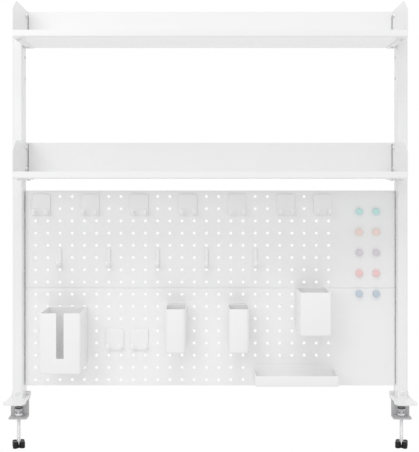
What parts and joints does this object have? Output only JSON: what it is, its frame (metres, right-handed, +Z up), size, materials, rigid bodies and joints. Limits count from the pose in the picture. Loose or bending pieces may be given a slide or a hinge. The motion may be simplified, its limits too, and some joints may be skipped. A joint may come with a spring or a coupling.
{
  "type": "pegboard desk organizer",
  "caption": "Desk-clamped pegboard organizer with posts, open shelves, perforated panels, hung hooks, cups and boxes, and disc magnets.",
  "frame": {"origin": "midway between the two posts, in the plane of the desk top under the foot plates, at the middle of the posts' depth", "axes": "+Z up the posts, -Y towards the front, +X to the right as seen from the front"},
  "size_m": [0.824, 0.155, 0.8945],
  "materials": {
    "white_steel": "fine powder coat, satin white",
    "board_steel": "fine powder coat, satin white",
    "white_plastic": "moulded, fine satin",
    "grey_steel": "powder coat, light grey",
    "chrome_screw": "bright plated, rolled thread",
    "zinc_plate": "zinc plated",
    "black_plastic": "moulded, satin black",
    "black_rubber": "matte rubber",
    "magnet_teal": "moulded, glossy",
    "magnet_salmon": "moulded, glossy",
    "magnet_lilac": "moulded, glossy",
    "magnet_pink": "moulded, glossy",
    "magnet_blue": "moulded, glossy"
  },
  "bodies": {
    "frame": {"left_post": "white_steel", "left_foot_plate": "white_steel", "left_jaw_bracket": "grey_steel", "right_post": "white_steel", "right_foot_plate": "white_steel", "right_jaw_bracket": "grey_steel", "lower_shelf_tray": "white_steel", "lower_shelf_left_end": "white_steel", "lower_shelf_right_end": "white_steel", "lower_pegboard": "board_steel", "upper_shelf_tray": "white_steel", "upper_shelf_left_end": "white_steel", "upper_shelf_right_end": "white_steel", "upper_pegboard": "board_steel", "shelf_bolts": "zinc_plate", "shelf_screws": "zinc_plate", "panel_screws": "zinc_plate", "foot_bolts": "zinc_plate", "foot_nuts": "zinc_plate", "jaw_screws": "zinc_plate", "jaw_nuts": "zinc_plate", "post_inserts": "zinc_plate", "post_caps": "white_plastic"},
    "left_pad": {"left_pad_cup": "zinc_plate", "left_pad_rubber": "black_rubber"},
    "left_screw": {"left_clamp_screw": "chrome_screw", "left_clamp_knob": "black_plastic"},
    "right_pad": {"right_pad_cup": "zinc_plate", "right_pad_rubber": "black_rubber"},
    "right_screw": {"right_clamp_screw": "chrome_screw", "right_clamp_knob": "black_plastic"},
    "double_hook_top_1_body": {"double_hook_top_1": "white_plastic"},
    "double_hook_top_2_body": {"double_hook_top_2": "white_plastic"},
    "double_hook_top_3_body": {"double_hook_top_3": "white_plastic"},
    "double_hook_top_4_body": {"double_hook_top_4": "white_plastic"},
    "double_hook_top_5_body": {"double_hook_top_5": "white_plastic"},
    "double_hook_top_6_body": {"double_hook_top_6": "white_plastic"},
    "double_hook_top_7_body": {"double_hook_top_7": "white_plastic"},
    "double_hook_low_1_body": {"double_hook_low_1": "white_plastic"},
    "double_hook_low_2_body": {"double_hook_low_2": "white_plastic"},
    "j_hook_1_body": {"j_hook_1": "white_plastic"},
    "j_hook_2_body": {"j_hook_2": "white_plastic"},
    "j_hook_3_body": {"j_hook_3": "white_plastic"},
    "j_hook_4_body": {"j_hook_4": "white_plastic"},
    "j_hook_5_body": {"j_hook_5": "white_plastic"},
    "tall_cup_1_body": {"tall_cup_1": "white_plastic"},
    "tall_cup_2_body": {"tall_cup_2": "white_plastic"},
    "slot_box_body": {"slot_box": "white_plastic"},
    "small_box_body": {"small_box": "white_plastic"},
    "low_tray_body": {"low_tray": "white_plastic"},
    "magnet_teal_1_body": {"magnet_teal_1": "magnet_teal"},
    "magnet_teal_2_body": {"magnet_teal_2": "magnet_teal"},
    "magnet_salmon_1_body": {"magnet_salmon_1": "magnet_salmon"},
    "magnet_salmon_2_body": {"magnet_salmon_2": "magnet_salmon"},
    "magnet_lilac_1_body": {"magnet_lilac_1": "magnet_lilac"},
    "magnet_lilac_2_body": {"magnet_lilac_2": "magnet_lilac"},
    "magnet_pink_1_body": {"magnet_pink_1": "magnet_pink"},
    "magnet_pink_2_body": {"magnet_pink_2": "magnet_pink"},
    "magnet_blue_1_body": {"magnet_blue_1": "magnet_blue"},
    "magnet_blue_2_body": {"magnet_blue_2": "magnet_blue"}
  },
  "joints": [
    {"name": "left_pad_lift", "type": "slide", "parent": "frame", "child": "left_pad", "axis": [0, 0, 1], "range_m": [-0.003, 0.0154]},
    {"name": "left_screw_turn", "type": "hinge", "parent": "left_pad", "child": "left_screw", "pos_m": [-0.39, -0.006, -0.06], "axis": [0, 0, 1], "range_deg": [-866, 4438]},
    {"name": "right_pad_lift", "type": "slide", "parent": "frame", "child": "right_pad", "axis": [0, 0, 1], "range_m": [-0.003, 0.0154]},
    {"name": "right_screw_turn", "type": "hinge", "parent": "right_pad", "child": "right_screw", "pos_m": [0.39, -0.006, -0.06], "axis": [0, 0, 1], "range_deg": [-866, 4438]},
    {"name": "double_hook_top_1_pull_off", "type": "slide", "parent": "frame", "child": "double_hook_top_1_body", "axis": [0, -1, 0], "range_m": [0, 0.05]},
    {"name": "double_hook_top_2_pull_off", "type": "slide", "parent": "frame", "child": "double_hook_top_2_body", "axis": [0, -1, 0], "range_m": [0, 0.05]},
    {"name": "double_hook_top_3_pull_off", "type": "slide", "parent": "frame", "child": "double_hook_top_3_body", "axis": [0, -1, 0], "range_m": [0, 0.05]},
    {"name": "double_hook_top_4_pull_off", "type": "slide", "parent": "frame", "child": "double_hook_top_4_body", "axis": [0, -1, 0], "range_m": [0, 0.05]},
    {"name": "double_hook_top_5_pull_off", "type": "slide", "parent": "frame", "child": "double_hook_top_5_body", "axis": [0, -1, 0], "range_m": [0, 0.05]},
    {"name": "double_hook_top_6_pull_off", "type": "slide", "parent": "frame", "child": "double_hook_top_6_body", "axis": [0, -1, 0], "range_m": [0, 0.05]},
    {"name": "double_hook_top_7_pull_off", "type": "slide", "parent": "frame", "child": "double_hook_top_7_body", "axis": [0, -1, 0], "range_m": [0, 0.05]},
    {"name": "double_hook_low_1_pull_off", "type": "slide", "parent": "frame", "child": "double_hook_low_1_body", "axis": [0, -1, 0], "range_m": [0, 0.05]},
    {"name": "double_hook_low_2_pull_off", "type": "slide", "parent": "frame", "child": "double_hook_low_2_body", "axis": [0, -1, 0], "range_m": [0, 0.05]},
    {"name": "j_hook_1_pull_off", "type": "slide", "parent": "frame", "child": "j_hook_1_body", "axis": [0, -1, 0], "range_m": [0, 0.06]},
    {"name": "j_hook_2_pull_off", "type": "slide", "parent": "frame", "child": "j_hook_2_body", "axis": [0, -1, 0], "range_m": [0, 0.06]},
    {"name": "j_hook_3_pull_off", "type": "slide", "parent": "frame", "child": "j_hook_3_body", "axis": [0, -1, 0], "range_m": [0, 0.06]},
    {"name": "j_hook_4_pull_off", "type": "slide", "parent": "frame", "child": "j_hook_4_body", "axis": [0, -1, 0], "range_m": [0, 0.06]},
    {"name": "j_hook_5_pull_off", "type": "slide", "parent": "frame", "child": "j_hook_5_body", "axis": [0, -1, 0], "range_m": [0, 0.06]},
    {"name": "tall_cup_1_pull_off", "type": "slide", "parent": "frame", "child": "tall_cup_1_body", "axis": [0, -1, 0], "range_m": [0, 0.06]},
    {"name": "tall_cup_2_pull_off", "type": "slide", "parent": "frame", "child": "tall_cup_2_body", "axis": [0, -1, 0], "range_m": [0, 0.06]},
    {"name": "slot_box_pull_off", "type": "slide", "parent": "frame", "child": "slot_box_body", "axis": [0, -1, 0], "range_m": [0, 0.13]},
    {"name": "small_box_pull_off", "type": "slide", "parent": "frame", "child": "small_box_body", "axis": [0, -1, 0], "range_m": [0, 0.11]},
    {"name": "low_tray_pull_off", "type": "slide", "parent": "frame", "child": "low_tray_body", "axis": [0, -1, 0], "range_m": [0, 0.1]},
    {"name": "magnet_teal_1_pull_off", "type": "slide", "parent": "frame", "child": "magnet_teal_1_body", "axis": [0, -1, 0], "range_m": [0, 0.04]},
    {"name": "magnet_teal_2_pull_off", "type": "slide", "parent": "frame", "child": "magnet_teal_2_body", "axis": [0, -1, 0], "range_m": [0, 0.04]},
    {"name": "magnet_salmon_1_pull_off", "type": "slide", "parent": "frame", "child": "magnet_salmon_1_body", "axis": [0, -1, 0], "range_m": [0, 0.04]},
    {"name": "magnet_salmon_2_pull_off", "type": "slide", "parent": "frame", "child": "magnet_salmon_2_body", "axis": [0, -1, 0], "range_m": [0, 0.04]},
    {"name": "magnet_lilac_1_pull_off", "type": "slide", "parent": "frame", "child": "magnet_lilac_1_body", "axis": [0, -1, 0], "range_m": [0, 0.04]},
    {"name": "magnet_lilac_2_pull_off", "type": "slide", "parent": "frame", "child": "magnet_lilac_2_body", "axis": [0, -1, 0], "range_m": [0, 0.04]},
    {"name": "magnet_pink_1_pull_off", "type": "slide", "parent": "frame", "child": "magnet_pink_1_body", "axis": [0, -1, 0], "range_m": [0, 0.04]},
    {"name": "magnet_pink_2_pull_off", "type": "slide", "parent": "frame", "child": "magnet_pink_2_body", "axis": [0, -1, 0], "range_m": [0, 0.04]},
    {"name": "magnet_blue_1_pull_off", "type": "slide", "parent": "frame", "child": "magnet_blue_1_body", "axis": [0, -1, 0], "range_m": [0, 0.04]},
    {"name": "magnet_blue_2_pull_off", "type": "slide", "parent": "frame", "child": "magnet_blue_2_body", "axis": [0, -1, 0], "range_m": [0, 0.04]}
  ],
  "couplings": [
    {"joint": "left_screw_turn", "follows": "left_pad_lift", "rad_per_m": 5026.5},
    {"joint": "right_screw_turn", "follows": "right_pad_lift", "rad_per_m": 5026.5}
  ]
}
